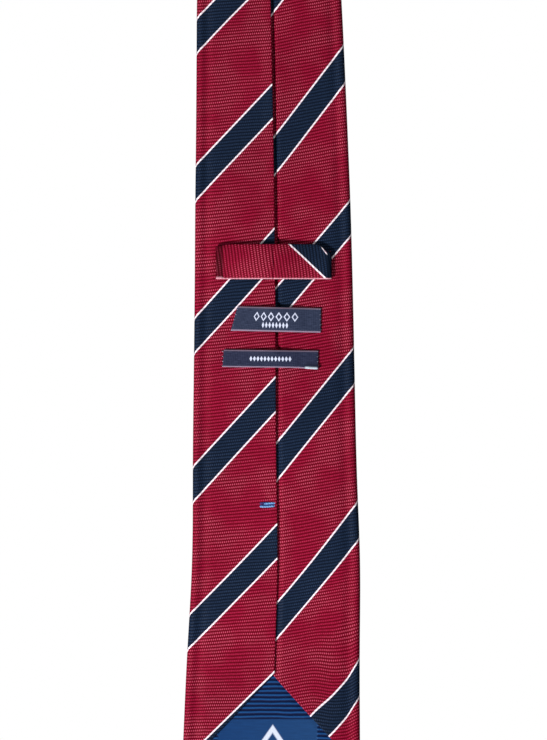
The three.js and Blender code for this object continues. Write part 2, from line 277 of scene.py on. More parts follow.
# %% [markdown]
# ## Materials from threads
#
# Every finish here is thread, so the materials are built from the thread's own pattern. Two small classes
# keep the wiring short. A Finish adds one node with each call, and a Field is a node's output that can be
# added, multiplied and so on as a number can, which adds Math nodes.


# %% Colours and fields
def srgb(red, green, blue):
    """A colour given as 0 to 255, as the linear RGBA that Blender's sockets hold."""
    c = np.array([red, green, blue]) / 255
    linear = np.where(c <= 0.04045, c / 12.92, ((c + 0.055) / 1.055) ** 2.4)
    return (*linear.tolist(), 1.0)


class Field:
    """A number that varies over a finish. Arithmetic on it adds Math nodes to the finish."""

    def __init__(self, finish, socket):
        self.math, self.socket = finish.math, socket

    def __add__(self, other):
        return self.math("ADD", self, other)

    def __sub__(self, other):
        return self.math("SUBTRACT", self, other)

    def __rsub__(self, other):
        return self.math("SUBTRACT", other, self)

    def __mul__(self, other):
        return self.math("MULTIPLY", self, other)

    def __truediv__(self, other):
        return self.math("DIVIDE", self, other)

    def __abs__(self):
        return self.math("ABSOLUTE", self)


# %% A helper for node materials
class Finish:
    """One node material. Each call adds a node, wires what it is given and returns the node's output."""

    def __init__(self, name, roughness, sheen=0.0, specular=0.5):
        self.material = bpy.data.materials.new(name)
        self.material.use_nodes = True
        self.tree = self.material.node_tree
        self.shader = self.tree.nodes["Principled BSDF"]
        self.shader.inputs["Roughness"].default_value = roughness
        self.shader.inputs["Sheen Weight"].default_value = sheen
        self.shader.inputs["Sheen Roughness"].default_value = 0.4
        self.shader.inputs["Specular IOR Level"].default_value = specular

    def node(self, kind, inputs, output=0, **settings):
        """A node with its settings made and its inputs wired or set, by name or number."""
        made = self.tree.nodes.new(kind)
        for key, value in settings.items():
            setattr(made, key, value)
        for key, value in inputs.items():
            value = value.socket if isinstance(value, Field) else value
            if isinstance(value, bpy.types.NodeSocket):
                self.tree.links.new(value, made.inputs[key])
            else:
                made.inputs[key].default_value = value
        return made.outputs[output]

    def math(self, operation, a, b=0.0):
        return Field(self, self.node("ShaderNodeMath", {0: a, 1: b}, operation=operation))

    def wave(self, cycles):
        """A sine wave that starts again at each whole number of cycles."""
        return self.math("SINE", cycles * (2 * math.pi))

    def ramp(self, value, low, high, to_low=0.0, to_high=1.0):
        """The value taken from the range low to high into the range to_low to to_high, and held there."""
        ends = {1: low, 2: high, 3: to_low, 4: to_high}
        return Field(self, self.node("ShaderNodeMapRange", {0: value, **ends}))

    def mix(self, share, a, b):
        """A blend of two colours. The Mix node's colour sockets are its inputs 6 and 7 and its output 2."""
        return self.node("ShaderNodeMix", {0: share, 6: a, 7: b}, output=2, data_type="RGBA")

    def shade(self, colour, amount):
        """A colour made darker or lighter by a factor."""
        return self.node("ShaderNodeVectorMath", {0: colour, "Scale": amount}, operation="SCALE")

    def noise(self, vector, scale, detail=2.0):
        inputs = {"Vector": vector, "Scale": scale, "Detail": detail}
        return Field(self, self.node("ShaderNodeTexNoise", inputs))

    def bolt(self):
        """The place on the bolt in millimetres: the vector, and its two coordinates."""
        place = self.node("ShaderNodeUVMap", {}, uv_map="bolt")
        u, v = (Field(self, self.node("ShaderNodeSeparateXYZ", {0: place}, output=axis)) for axis in (0, 1))
        return place, u, v

    def finish(self, colour, height, depth, roughness=None):
        """Wires the colour, a bump of the given depth in millimetres and, where it varies, the roughness."""
        self.tree.links.new(colour, self.shader.inputs["Base Color"])
        bump = self.node("ShaderNodeBump", {"Height": height, "Distance": depth * MM, "Strength": 1.0})
        self.tree.links.new(bump, self.shader.inputs["Normal"])
        if roughness is not None:
            self.tree.links.new(roughness.socket, self.shader.inputs["Roughness"])
        return self.material


# %% [markdown]
# ## The silk
#
# The silk is an ottoman weave: thick ribs run almost across the tie, and fine threads pass over each rib in
# turn, like bricks in a wall. The red ground carries a navy stripe between two thin white lines. All of it
# is woven, so stripes, ribs and threads are formulas of the cloth's place on the bolt, and a fold or a bias
# seam only changes that place.

# %% The silk's weave
RIB_ANGLE = math.radians(8)
RIB_PITCH = 1.39
THREAD_PITCH = 0.93
STRIPE_ANGLE = math.radians(49)
STRIPE_REPEAT = 68.1
STRIPE_BAND = 16.2  # from white line to white line, along the run
STRIPE_START = 275.8
WHITE_LINE = 1.0
# Each colour is a pair of tones: painted shade for the ribs' grooves and painted light for their crests.
RED = (srgb(92, 0, 16), srgb(158, 16, 58))
NAVY = (srgb(9, 19, 35), srgb(30, 44, 68))
WHITE = (srgb(236, 216, 228), srgb(255, 250, 254))
# GLINT, GLINT_SHARE and GLINT_GAIN give the colour and the strength of a painted highlight.
GLINT = srgb(226, 186, 198)
LINE_BLUR = 0.12  # half the width of a white line's soft edge
GLINT_SHARE = 0.13
GLINT_GAIN = 0.35
RIB_WANDER = 0.8  # how far a rib strays, in rib pitches
THREAD_HEIGHT = 0.35  # against the rib's own
WEAVE_DEPTH = 0.14
NECK_SHIFT = 0.37  # the neck is cut from another place on the bolt, in stripe repeats


def silk_colours(f, u, v, lit, glint, stripe_start, stripe_slope, band):
    """The stripe's colours. Its distance along the run is a sawtooth of v - slope·u, and each colour is a
    blend of its painted shade tone and its painted lit tone. The red also carries a painted highlight, a pale
    glint, where its threads stand highest."""
    sawtooth = f.math("FRACT", (v - u * stripe_slope - stripe_start) / STRIPE_REPEAT)
    below = (1.0 - sawtooth) * STRIPE_REPEAT
    in_band = f.ramp(below, band + 0.1, band - 0.1)
    to_upper = f.math("MINIMUM", below, STRIPE_REPEAT - below)
    to_line = f.math("MINIMUM", to_upper, abs(below - band))
    in_line = f.ramp(to_line, WHITE_LINE / 2 + LINE_BLUR, WHITE_LINE / 2 - LINE_BLUR)
    red = f.mix(glint * GLINT_SHARE, f.mix(lit, *RED), GLINT)
    ground = f.mix(in_band, red, f.mix(lit, *NAVY))
    return f.mix(in_line, ground, f.mix(lit, *WHITE))


def silk_finish(name, start=STRIPE_START, slope=math.tan(STRIPE_ANGLE), band=STRIPE_BAND, extra=None):
    """Ribbed silk. Each rib's profile is half a sine wave, and short threads pass over it like bricks in a
    wall. Extra may change the colour before it is wired, given the finish, the colour and the place on the
    bolt."""
    f = Finish(name, roughness=0.5, specular=0.05)
    place, u, v = f.bolt()
    level, steep = math.cos(RIB_ANGLE), math.sin(RIB_ANGLE)
    wander = f.noise(place, 0.05) - 0.5
    ribs = (v * level - u * steep) / RIB_PITCH + wander * RIB_WANDER
    rib = f.wave(f.math("FRACT", ribs) * 0.5)
    thread = f.wave((u * level + v * steep) / THREAD_PITCH + f.math("FLOOR", ribs) * 0.5)
    plump = f.ramp(f.noise(place, 0.07, 1.0), 0.38, 0.62, 0.2, 0.9)
    dots = thread * plump * rib
    height = dots * THREAD_HEIGHT + rib
    uneven = f.noise(place, 1.1, 2.0) - 0.5
    # lit mixes random unevenness of tone with painted light and shade: lighter on rib crests and thread tops,
    # darker in the grooves.
    lit = f.ramp(uneven * 0.8 + dots * 0.4 + rib, 0.3, 1.25)
    # glint is a painted highlight where the ribs and threads stand highest.
    glint = f.ramp(rib + dots, 0.95, 1.7)
    colour = silk_colours(f, u, v, lit, glint, start, slope, band)
    # The painted highlight also brightens every colour, by up to GLINT_GAIN.
    colour = f.shade(colour, glint * GLINT_GAIN + 1.0)
    colour = f.shade(colour, f.ramp(f.noise(place, 0.02, 3.0), 0.3, 0.7, 0.9, 1.1))
    if extra is not None:
        colour = extra(f, colour, u, v)
    return f.finish(colour, height, WEAVE_DEPTH, f.ramp(rib, 0, 1, 0.62, 0.46))


silk = silk_finish("ribbed_silk")
neck_silk = silk_finish("ribbed_silk_of_the_neck", STRIPE_START + NECK_SHIFT * STRIPE_REPEAT)
print("silk: ribs", RIB_PITCH, "mm, stripes every", STRIPE_REPEAT, "mm")


# %% [markdown]
# ## The folded envelope
#
# In cross-section the silk starts under the left flap, turns its hem at the seam, goes out over the left
# flap, rolls round the edge of the interlining, crosses the front, rolls back and ends under the left flap
# again. The columns of the grid are points of that section. The rolls keep their shape all along the tie,
# and the flat parts between them narrow with it.

# %% The envelope's sizes
SILK = 0.3  # the cloth's thickness
SEAM = 0.6  # the left flap's turned edge, right of the middle
LAP = 6.0  # how far the right flap reaches under the left one
HEM = 5.0
FACE = HALF - SILK / 2  # the rise of the flaps' outer faces
FLAT = BLADE_WIDTH / 2 - HALF
QUARTER = FACE * math.pi / 2  # the cloth in a quarter of a rolled edge
ROLL = 0.6  # how far the flap sinks just inside its rolled edge
STEP = 1.7  # how far the right flap sinks to pass under the left one
STEP_START, STEP_END = SEAM + 3.3, SEAM + 1.2  # where it starts to sink, and where it has sunk
HEM_RADIUS = 0.2


# %% The envelope's cross-section
def half_circle(count):
    """Angles from straight down to straight up."""
    return np.linspace(-math.pi / 2, math.pi / 2, count)


def envelope_section():
    """Points of the section at the blade's full width: across, rise, side (1 left flap, 0 front, -1 right
    flap), fold, which is the distance past the fold line for a rolled edge and not a number elsewhere, and
    outer, which is 0 for the layers inside the lap and 1 for the rest."""
    parts = []

    def stretch(x, rise, side, outer=1, fold=np.nan):
        parts.append(np.stack(np.broadcast_arrays(x, rise, side, fold, outer), 1))

    def spread(*pieces):
        return np.concatenate([np.linspace(*piece) for piece in pieces])

    def flap_rise(x):
        """The flap's level: it sinks just inside the roll."""
        inside = FLAT - np.abs(x)
        return FACE - ROLL * hill(inside, 3.2, 2.4) * smooth(inside, 0, 2)

    hem_turn, turn = half_circle(7), half_circle(11)
    stretch(np.linspace(SEAM - HEM, SEAM - HEM_RADIUS, 5), FACE - 2 * HEM_RADIUS, 1, 0)
    stretch(SEAM - HEM_RADIUS * (1 - np.cos(hem_turn)), FACE - HEM_RADIUS * (1 - np.sin(hem_turn)), 1, 0)
    left = spread((SEAM - 0.8, SEAM - 9, 9), (SEAM - 11, -FLAT + 8, 10), (-FLAT + 7, -FLAT + 0.6, 9))
    stretch(left, flap_rise(left), 1)
    stretch(-FLAT - FACE * np.cos(turn), -FACE * np.sin(turn), 1, fold=-FACE * turn)
    stretch(np.linspace(-FLAT + 0.8, FLAT - 0.8, 39), -FACE, 0)
    stretch(FLAT + FACE * np.cos(turn), FACE * np.sin(turn), -1, fold=FACE * turn)
    right = spread((FLAT - 0.6, FLAT - 7, 9), (FLAT - 8, SEAM + 13, 9), (SEAM + 11.5, SEAM + 3.6, 9))
    stretch(right, flap_rise(right), -1)
    under = spread((SEAM + 3.0, SEAM - 0.4, 11), (SEAM - 1.5, SEAM - LAP, 4))
    stretch(under, FACE - STEP * smooth(-under, -STEP_START, -STEP_END), -1, 0)
    return np.concatenate(parts).T


SECTION_ACROSS, SECTION_RISE, SECTION_SIDE, SECTION_FOLD, SECTION_OUTER = envelope_section()
print("section of", len(SECTION_ACROSS), "points")


# %% [markdown]
# The stripes show how the cloth lies. The flaps are the same cloth as the front, folded over at the edges,
# so a stripe runs on as its own mirror image. In sewing the flaps are also eased up and down a few
# millimetres, which shows where two stripes miss each other at the seam.

# %% The cloth's place on the bolt
EASED_LEFT = (-1.35, (2.1, 250, 320))
EASED_RIGHT = (6.05, (-1.1, 100, 145), (-3.9, 225, 330))
OPENING_EASED = 2.0
CORNER_EASED = 2.2
CORNER_SWELLING = 1.8


def drawn_in(across, run):
    """The place across the tie of a point of the full-width section, at any run."""
    share = np.clip(np.abs(across) / FLAT, 0, 1)
    return across + np.sign(across) * share * (half_width(run) - BLADE_WIDTH / 2)


def easing(run, across):
    """How far the cloth was eased up the tie in sewing: smooth steps on each flap, shared out over the
    front between them, a little back near the left side of the opening, and a little back at the right
    corner, where the cloth swells most just inside the roll."""
    to_left = np.where(SECTION_SIDE == 0, 0.5 - SECTION_ACROSS / FLAT / 2, SECTION_SIDE == 1)
    to_right = 1 - to_left
    along = stepped(run, *EASED_LEFT) * to_left + stepped(run, *EASED_RIGHT) * to_right
    inside = np.clip(1 + across / half_width(run), 0, 1)
    opening = OPENING_EASED * inside * (SECTION_SIDE == 1)
    swelling = CORNER_SWELLING * smooth(across, 17, 28) * (1 - smooth(across, 33, 39))
    on_flap = CORNER_EASED * smooth(across, 15, 37) + swelling
    corner = np.where(SECTION_SIDE == 0, CORNER_EASED * to_right, on_flap)
    return along * (1 - smooth(run, 420, 600)) - (opening + corner) * (1 - smooth(run, 85, 125))


def on_the_bolt(run):
    """Each section point's place on the bolt, at a run for each point. The fold line runs round the middle
    of the rolled edge. A flap is the bolt's cloth reflected in it, so its point lies as far beyond that
    line as it does inside it, and slides along the run by twice that distance times the line's lean."""
    across = drawn_in(SECTION_ACROSS, run)
    edge, lean = half_width(run) - HALF + QUARTER, edge_lean(run)
    inside = np.where(np.isnan(SECTION_FOLD), edge + SECTION_SIDE * across, SECTION_FOLD)
    slide = 2 * np.maximum(inside, 0) * np.abs(lean) * np.where(run > CROWN, -1, 1)
    u = np.where(SECTION_SIDE == 0, -across, SECTION_SIDE * (edge + inside))
    return u, run + np.where(SECTION_SIDE == 0, 0, slide) - easing(run, across)


# %% [markdown]
# Along the tie the rows of the grid are level, with extra rows where it bends. Only the cut ends are not:
# each column starts and stops at its own run, and the rows near an end are spread evenly up to it. The
# points are cut as a V across the front and an upturned V across the flaps. A bias seam is a straight line
# on the bolt.


# %% Where each column starts and ends
TACK_RUN = 166.0
NEAR_BEND, BEND_STEP = 8.0, 0.8
NEAR_TACK, TACK_STEP = 9.0, 0.9
LEAST_STEP = 0.25
END_STEP = 2.2
SEAM_ROUNDS = 12


def level_rows(low, high, step=2.8):
    """Runs from low to high, closer together near the bends, over the rail and at the tack."""
    runs = [np.arange(low, high, step), [high]]
    runs += [np.arange(bend - NEAR_BEND, bend + NEAR_BEND + 0.1, BEND_STEP) for bend in BENDS]
    runs.append(np.linspace(BLADE_DROP - 4, ARCH_END + 4, 50))
    runs.append(np.arange(TACK_RUN - NEAR_TACK, TACK_RUN + NEAR_TACK, TACK_STEP))
    runs = np.unique(np.round(np.concatenate(runs), 2))
    runs = runs[(runs >= low) & (runs <= high)]
    return runs[np.append(np.diff(runs) > LEAST_STEP, True)]


def column_rows(first, last, low, high):
    """The run of each grid point: from each column's first run to low, level rows to high, then to its last
    run."""
    before = np.linspace(0, 1, max(2, math.ceil((low - first.min()) / END_STEP)))[:-1, None]
    after = np.linspace(0, 1, max(2, math.ceil((last.max() - high) / END_STEP)))[1:, None]
    middle = level_rows(low, high)[:, None] + np.zeros_like(first)
    return np.vstack([first + before * (low - first), middle, high + after * (last - high)])


def point_cut(width, corner, taper_run, far):
    """How far each column is cut back from the point, along the run: the front by the V, the flaps by the
    upturned V that starts at the same corners. The cut curls in over a rolled edge. The sides' lean is
    read between the corner and taper_run, and far turns a distance from the point into a run."""
    slope = math.tan(POINT_ANGLE)
    full = drawn_in(SECTION_ACROSS, far(0))
    lean = math.atan(abs(half_width(far(corner)) - half_width(far(taper_run))) / (taper_run - corner))
    flap_slope = math.tan(POINT_ANGLE - 2 * lean)
    inside = np.where(np.isnan(SECTION_FOLD), width / 2 + SECTION_SIDE * full, SECTION_FOLD * HALF / QUARTER)
    front = np.abs(full) * slope
    folded = corner + np.where(inside > 0, inside * flap_slope, inside * slope)
    return np.where(SECTION_SIDE == 0, front, folded)


def bias_cut(seam_run):
    """The run at which each column meets a bias seam: the seam is a line on the bolt, and a few rounds of
    correction find the run whose place on the bolt lies on it."""
    run = np.full_like(SECTION_ACROSS, seam_run)
    for _ in range(SEAM_ROUNDS):
        u, v = on_the_bolt(run)
        run = run - (v - math.tan(STRIPE_ANGLE) * u - seam_run)
    return run


# %% [markdown]
# At the points the silk doesn't just end. The front's margin rolls over the edge of the interlining and
# lies on the lining inside, and the flaps' edges are turned under. Both are the same curl with a different
# radius: half a circle towards the inside of the envelope, then a few millimetres back along the cloth.


# %% The turned edges at the points
FRONT_CURL = 1.15
FLAP_CURL = 0.22
FRONT_MARGIN = 4.2
FLAP_MARGIN = 3.0


def curl_sizes():
    """Each column's curl radius and margin. A rolled edge passes smoothly from the front's sizes to the
    flap's. The flaps' sizes shrink to nothing at the seam, and the layers inside the lap keep a plain cut.
    A margin is never longer than the room between it and the fold line. At the point the front's two
    margins meet in a mitre on the middle."""
    to_flap = np.where(np.isnan(SECTION_FOLD), np.abs(SECTION_SIDE), (SECTION_FOLD / QUARTER + 1) / 2)
    radius = FRONT_CURL + (FLAP_CURL - FRONT_CURL) * to_flap
    margin = FRONT_MARGIN + (FLAP_MARGIN - FRONT_MARGIN) * to_flap
    mitre = np.where(SECTION_SIDE == 0, np.abs(SECTION_ACROSS) / math.sin(POINT_ANGLE), FRONT_MARGIN)
    near_seam = smooth(np.abs(SECTION_ACROSS - SEAM), 0.5, 9) * SECTION_OUTER
    flap_side = SECTION_SIDE != 0
    radius = np.where(flap_side, np.maximum(radius * near_seam, 0.01), radius)
    room = np.where(np.isnan(SECTION_FOLD), FLAT - np.abs(SECTION_ACROSS), -SECTION_FOLD)
    flap_margin = np.minimum(margin * near_seam, 0.05 + 1.25 * np.maximum(room, 0))
    return radius, np.where(flap_side, flap_margin, np.minimum(margin, mitre))


def turned_edge(cut, toward):
    """Rows of run, across, rise, u and v past a cut edge. M points from the edge into the cloth and N into
    the envelope, and a point at angle a on the curl is r(1 - cos a)N - r sin a M from the edge. Toward is 1
    where the cloth lies at higher runs and -1 where it lies at lower ones."""
    radius, margin = curl_sizes()
    run = cut + toward * radius / math.cos(POINT_ANGLE)
    across = drawn_in(SECTION_ACROSS, run)
    step = np.hypot(np.gradient(across), np.gradient(SECTION_RISE))
    tangent = np.gradient(across) / step, np.gradient(SECTION_RISE) / step
    lean = np.gradient(cut) / step
    into = np.stack([np.full_like(lean, toward), -toward * lean]) / np.hypot(1, lean)
    angle = np.linspace(0, math.pi, 7)[:, None]
    curl_in = np.vstack([radius * (1 - np.cos(angle)), 2 * radius + 0 * radius, 2 * radius + 0 * radius])
    curl_back = np.vstack([-radius * np.sin(angle), margin / 2, margin])
    walked = np.vstack([radius * angle, math.pi * radius + margin / 2, math.pi * radius + margin])
    u, v = on_the_bolt(run)
    return np.stack([
        run + curl_back * into[0],
        across + curl_back * into[1] * tangent[0] - curl_in * tangent[1],
        SECTION_RISE + curl_back * into[1] * tangent[1] + curl_in * tangent[0],
        u + walked * into[1],
        v - walked * into[0],
    ])


# %% [markdown]
# The blade, the neck and the tail are three lengths of silk. The neck is parted once more at the crown of
# the rail, where it never bends, because a piece of cloth here can follow only one joint.

# %% A joint's points, and a piece's baked transform
BEND_REACH = 5.0


def joint_point(name, offset):
    """A point in the frame, a few millimetres along Z from a joint, on its axis's level."""
    x, y, z = joint_named(name)["pos_m"]
    return (0.0, y, z + offset * MM)


def bend_between(piece, joint):
    """Looks up the joint's parent and child and two points beside it, and bakes the piece's transform into
    its mesh.
    """
    parent, child = joint_named(joint)["parent"], joint_named(joint)["child"]
    joint_point(joint, BEND_REACH)
    joint_point(joint, -BEND_REACH)
    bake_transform(piece)


# %% The silk's pieces
BLADE_SEAM = 645.0
TAIL_SEAM = 1000.0
SEAM_GAP = 0.3
SEAM_LIFT = (0.16, (0.34, 130, 360))
MEETING = 0.85  # the share of its step that the right flap rises by at the point
WRINKLE = 0.2
DIMPLE = 0.55


def seam_relief(run):
    """How the cloth stands at the seam. The left flap's edge lifts a little, more towards the neck, and the
    right flap rises to meet it towards the point. The tack pulls both down into a dimple, and wrinkles run
    out from it: a wave of the angle about its right end that fades with the distance."""
    lift = stepped(run, *SEAM_LIFT) + 0.14 * np.sin(run / 29 + 2.0) + 0.07 * np.sin(run / 11)
    near_edge = smooth(SECTION_ACROSS, SEAM - 7, SEAM) * (SECTION_SIDE == 1) * (SECTION_RISE > FACE - 0.6)
    sunk = (FACE - SECTION_RISE) / STEP * (SECTION_SIDE == -1) * (SECTION_ACROSS < STEP_START)
    meet = MEETING * (1 - smooth(run, 105, 300)) * sunk
    past, up = SECTION_ACROSS - SEAM, run - TACK_RUN
    far = np.hypot(past, up)
    wrinkles = WRINKLE * np.cos(9 * np.arctan2(up, past)) * smooth(far, 0.5, 3) * hill(far, 0, 6.5)
    dimple = DIMPLE * hill(up, 0, 4.0) * hill(past, -2, 6.5)
    return lift * near_edge + meet + (wrinkles - dimple) * (np.abs(SECTION_SIDE) == 1)


def silk_length(name, first, last, low, high, material, joint, replaced, turned=0):
    """One length of the folded silk, from its first to its last run, across one joint. Its rows are
    level from low to high. Turned is 1 or -1 where its first or last edge is turned at a point."""
    radius = curl_sizes()[0] / math.cos(POINT_ANGLE)
    begin = first + radius * (turned == 1)
    end = last - radius * (turned == -1)
    run = column_rows(begin, end, low, high)
    across, rise = drawn_in(SECTION_ACROSS, run), SECTION_RISE + seam_relief(run)
    u, v = on_the_bolt(run)
    grid = np.stack([run, across, rise, u, v])
    if turned == 1:
        grid = np.concatenate([turned_edge(first, 1)[:, :0:-1], grid], 1)
    if turned == -1:
        grid = np.concatenate([grid, turned_edge(last, -1)[:, 1:]], 1)
    points = hang(*grid[:3])
    quads = grid_quads(*grid.shape[1:])
    bolt = np.stack(grid[3:], -1).reshape(-1, 2)
    piece = piece_from(name, points.reshape(-1, 3), quads, bolt, material)
    thicken(piece, SILK)
    bend_between(piece, joint)
    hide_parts(*replaced)
    print(name, grid.shape[1:], "cut from", np.round(np.ptp(bolt, 0)), "mm of silk")


blade_tip = point_cut(BLADE_WIDTH, BLADE_CORNER, 170, lambda at: at)
tail_tip = TIE_LENGTH - point_cut(TAIL_WIDTH, TAIL_CORNER, 380, lambda at: TIE_LENGTH - at)
blade_seam = bias_cut(BLADE_SEAM)
tail_seam = bias_cut(TAIL_SEAM)
crown = np.full_like(SECTION_ACROSS, CROWN)
silk_length("blade_cloth", blade_tip, blade_seam - SEAM_GAP, 104, 560, silk, "blade_bend",
            ["blade_silk", "blade_silk_upper"], turned=1)
silk_length("neck_cloth_front", blade_seam + SEAM_GAP, crown, 706, CROWN - 2, neck_silk, "blade_swing",
            ["neck_silk_front", "neck_silk_arch"])
silk_length("neck_cloth_rear", crown, tail_seam - SEAM_GAP, CROWN + 2, 930, neck_silk, "tail_swing",
            ["neck_silk_rear", "neck_silk_arch"])
silk_length("tail_cloth", tail_seam + SEAM_GAP, tail_tip, 1080, TIE_LENGTH - 60, silk, "tail_bend",
            ["tail_silk_upper", "tail_silk"], turned=-1)


# %% [markdown]
# ## The canvas inside
#
# The interlining is a strip of brushed wool cloth that gives the tie its body. It is a plain sheet with a
# real thickness, cut to a V at both points, and it is divided where the silk is, so that each length spans
# one joint.

# %% The interlining
CANVAS = 1.4
CANVAS_RISE = -0.95
CANVAS_INSET = 2.0
WOOL_PITCH = 0.9


def wool_finish():
    """Brushed wool: a plain weave, as the product of two sines, under a cloudy nap."""
    f = Finish("brushed_wool", roughness=0.95, sheen=0.3, specular=0.1)
    place, u, v = f.bolt()
    height = f.wave(u / WOOL_PITCH) * f.wave(v / WOOL_PITCH) * 0.4 + f.noise(place, 1.4, 4.0)
    colour = f.mix(f.ramp(height, 0.1, 1.0), srgb(176, 168, 150), srgb(226, 220, 206))
    return f.finish(colour, height, 0.15)


def inner_sheet(name, begin, end, inset, rise, thickness, material, slot, replaced, points=(False, False)):
    """A flat layer inside the envelope. Its columns share its width out evenly, and where an end is a
    point, each column there is cut back by the V's slope times its distance from the middle."""
    share = np.linspace(-1, 1, 25)
    cut = (np.abs(share) * math.tan(POINT_ANGLE), inset / math.cos(POINT_ANGLE))
    first = begin + points[0] * (cut[0] * (half_width(begin) - inset) + cut[1])
    last = end - points[1] * (cut[0] * (half_width(end) - inset) + cut[1])
    run = column_rows(first + 0 * share, last + 0 * share, begin + 60 * points[0], end - 40 * points[1])
    across = share * (half_width(run) - inset)
    quads = grid_quads(*run.shape)
    bolt = np.stack([across, run], -1).reshape(-1, 2)
    piece = piece_from(name, hang(run, across, rise).reshape(-1, 3), quads, bolt, material)
    thicken(piece, thickness)
    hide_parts(*replaced)
    return piece


wool = wool_finish()
CANVAS_LENGTHS = [
    ("blade_canvas", 0, BLADE_SEAM, (True, False), "blade_bend",
     ["blade_interlining", "blade_interlining_upper"]),
    ("neck_canvas_front", BLADE_SEAM, CROWN, (False, False), "blade_swing",
     ["blade_interlining_upper", "neck_interlining"]),
    ("neck_canvas_rear", CROWN, TAIL_SEAM, (False, False), "tail_swing",
     ["neck_interlining", "tail_interlining_upper"]),
    ("tail_canvas", TAIL_SEAM, TIE_LENGTH, (False, True), "tail_bend",
     ["tail_interlining_upper", "tail_interlining"]),
]
for name, begin, end, points, joint, replaced in CANVAS_LENGTHS:
    layer = (CANVAS_INSET, CANVAS_RISE, CANVAS, wool, "canvas")
    canvas = inner_sheet(name, begin, end, *layer, replaced, points)
    bend_between(canvas, joint)
print("canvas in", len(CANVAS_LENGTHS), "lengths")


# %% [markdown]
# ## The lining of the points
#
# The tipping is a thin ribbed satin that lines the inside of each point. On the blade it has a plain woven
# panel with a pale ornament, here a simple lozenge.

# %% The tipping
TIPPING_PITCH = 1.95
PANEL_TOP = 69.5
PANEL_LEFT, PANEL_RIGHT = -24.0, 20.5
PANEL_BLUR = 0.3
ORNAMENT_ACROSS, ORNAMENT_RUN = 0.4, 57.5
ORNAMENT_HALF = (6.5, 9.5)  # half its width and half its height


def lozenge_outline(f, x, y, half_wide, half_high, inner=0.62):
    """1 on the outline of a lozenge and 0 elsewhere: |x|/a + |y|/b between an inner size and 1."""
    reach = abs(x) / half_wide + abs(y) / half_high
    return f.ramp(reach, 1.05, 0.95) * f.ramp(reach, inner - 0.06, inner + 0.06)


def tipping_finish(name, panel):
    """Ribbed satin. Its ribs are a sine wave of the run, and the panel is a plain area with soft edges."""
    f = Finish(name, roughness=0.45, specular=0.15)
    place, u, v = f.bolt()
    wander = f.noise(place, 0.08) - 0.5
    rib = f.wave(v / TIPPING_PITCH + wander * 0.5)
    streaks = f.node("ShaderNodeVectorMath", {0: place, 1: (0.15, 2.2, 1)}, operation="MULTIPLY")
    fine = f.noise(streaks, 1.0, 2.0)
    height = fine * 0.6 + rib
    # The colour is painted shade in the ribs' grooves and painted light on their crests, with streaks of
    # random tone.
    colour = f.mix(f.ramp(height, 0.0, 1.5), srgb(0, 12, 50), srgb(22, 73, 130))
    if panel:
        in_left = f.ramp(u, PANEL_LEFT - PANEL_BLUR, PANEL_LEFT + PANEL_BLUR)
        in_right = f.ramp(u, PANEL_RIGHT + PANEL_BLUR, PANEL_RIGHT - PANEL_BLUR)
        inside = in_left * in_right * f.ramp(v, PANEL_TOP + PANEL_BLUR, PANEL_TOP - PANEL_BLUR)
        plain = f.mix(f.ramp(u, PANEL_LEFT, PANEL_RIGHT), srgb(12, 51, 99), srgb(24, 60, 105))
        plain = f.shade(plain, f.ramp(fine, 0.3, 0.7, 0.88, 1.12))
        ornament = lozenge_outline(f, u - ORNAMENT_ACROSS, v - ORNAMENT_RUN, *ORNAMENT_HALF)
        colour = f.mix(inside, colour, f.mix(ornament, plain, srgb(200, 208, 226)))
        height = height * (1.0 - inside)
    return f.finish(colour, height, 0.1)


TIPPING_INSET = CANVAS_INSET - 0.2
TIPPING_RISE = -0.02
TIPPING = 0.2
BLADE_TIPPING_TOP = size_of("blade_tipping", 2)
TAIL_TIPPING_TOP = size_of("tail_tipping", 2)
LININGS = [
    ("blade_lining", 0, BLADE_TIPPING_TOP, (True, False), "tipping_with_panel", "blade_tipping",
     "blade_lower"),
    ("tail_lining", TIE_LENGTH - TAIL_TIPPING_TOP, TIE_LENGTH, (False, True), "plain_tipping", "tail_tipping",
     "tail_lower"),
]
for name, begin, end, points, finish, replaced, body in LININGS:
    layer = (TIPPING_INSET, TIPPING_RISE, TIPPING, tipping_finish(finish, body == "blade_lower"), "tipping")
    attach(inner_sheet(name, begin, end, *layer, [replaced], points), body)
print("linings", round(BLADE_TIPPING_TOP), "and", round(TAIL_TIPPING_TOP), "mm high")


# %% [markdown]
# ## Threads
#
# Every thread is a round tube along a path. Its rings stand square to the path: one direction of a ring is
# the cross product of the path's direction with a fixed one, and the other is square to both.


# %% Tubes along paths
def thread_finish(name, dark, light, twist):
    """Twisted thread: a sine of the length and the way round gives the strands their slant."""
    f = Finish(name, roughness=0.5, sheen=0.1, specular=0.35)
    place, u, v = f.bolt()
    strand = f.wave(v / twist + u)
    # lit is painted light and shade: lighter on each strand's crest, darker between strands, with random
    # tone. Dark and light are the shaded and lit tones.
    lit = f.ramp(f.noise(place, 2.0) * 0.6 + strand, -0.9, 1.2)
    return f.finish(f.mix(lit, dark, light), strand, 0.04)


